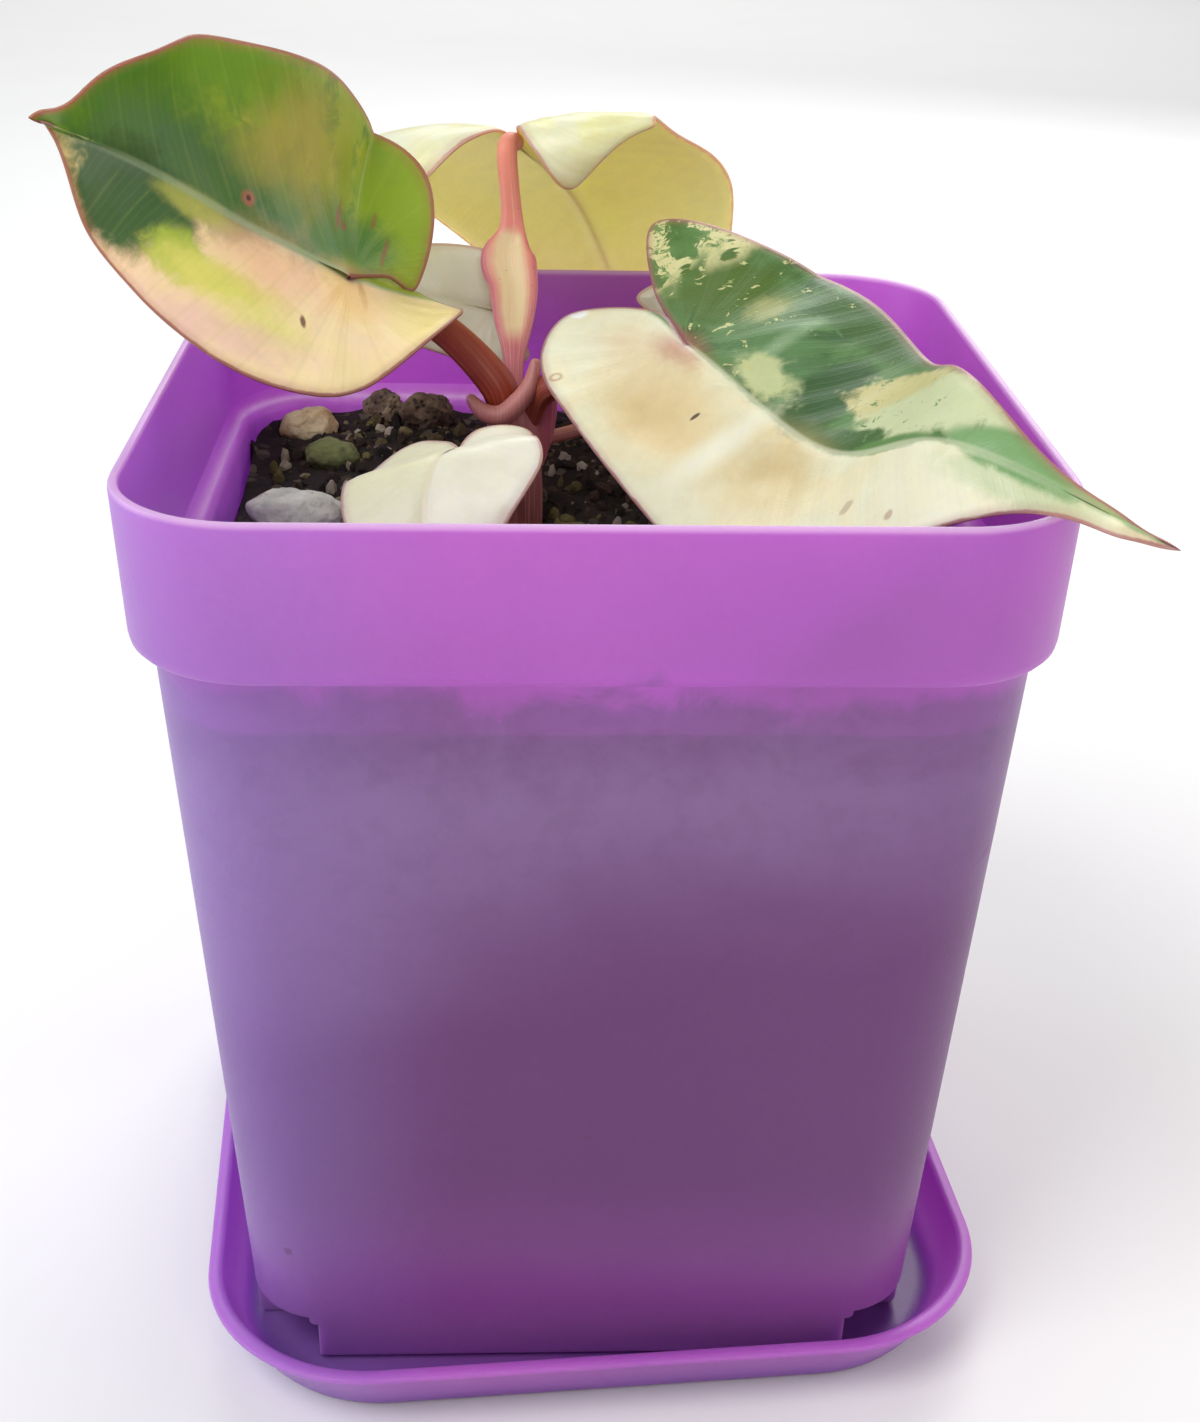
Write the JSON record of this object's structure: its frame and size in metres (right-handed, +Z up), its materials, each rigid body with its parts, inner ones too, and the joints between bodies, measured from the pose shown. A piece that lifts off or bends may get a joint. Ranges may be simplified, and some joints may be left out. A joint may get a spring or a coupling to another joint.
{
  "type": "potted variegated philodendron",
  "caption": "Young variegated aroid house plant with heart-shaped, drip-tipped leaves, in a tapered square nursery pot on a matching saucer.",
  "frame": {"origin": "centre of the saucer's flat underside", "axes": "+Z up; -Y towards the front, the side the picture shows; +X to the right seen from the front"},
  "size_m": [0.1147, 0.1142, 0.156],
  "materials": {
    "pot_plastic": "translucent lavender plastic, satin",
    "potting_mix": "dark damp bark and peat mix with grit",
    "stone_light": "rough pale grey stone",
    "stone_tan": "rough tan stone",
    "stone_green": "rough stone with green algae",
    "pumice": "porous volcanic grit",
    "stem": "fleshy red-brown stem with pink sheath edges",
    "petiole_red": "glossy brick-red leaf stalk",
    "petiole_pink": "waxy pink leaf stalk",
    "leaf_green": "waxy leaf, green over salmon, pink margin",
    "leaf_variegated": "waxy leaf, cream and marbled green, pink margin",
    "leaf_yellow": "waxy yellow leaf, pink margin",
    "leaf_cream": "waxy cream leaf, pink margin"
  },
  "bodies": {
    "root": {"saucer": "pot_plastic", "pot": "pot_plastic", "soil": "potting_mix", "stone_white": "stone_light", "stone_tan": "stone_tan", "stone_green": "stone_green", "pumice_left": "pumice", "pumice_right": "pumice", "stem": "stem", "petiole_left": "petiole_red", "petiole_right": "petiole_red", "petiole_back": "petiole_pink", "petiole_front": "petiole_pink", "petiole_rear_left": "petiole_pink", "petiole_rear_right": "petiole_pink", "blade_left": "leaf_green", "blade_right": "leaf_variegated", "blade_back": "leaf_yellow", "blade_front": "leaf_cream", "blade_rear_left": "leaf_cream", "blade_rear_right": "leaf_cream"}
  },
  "joints": []
}
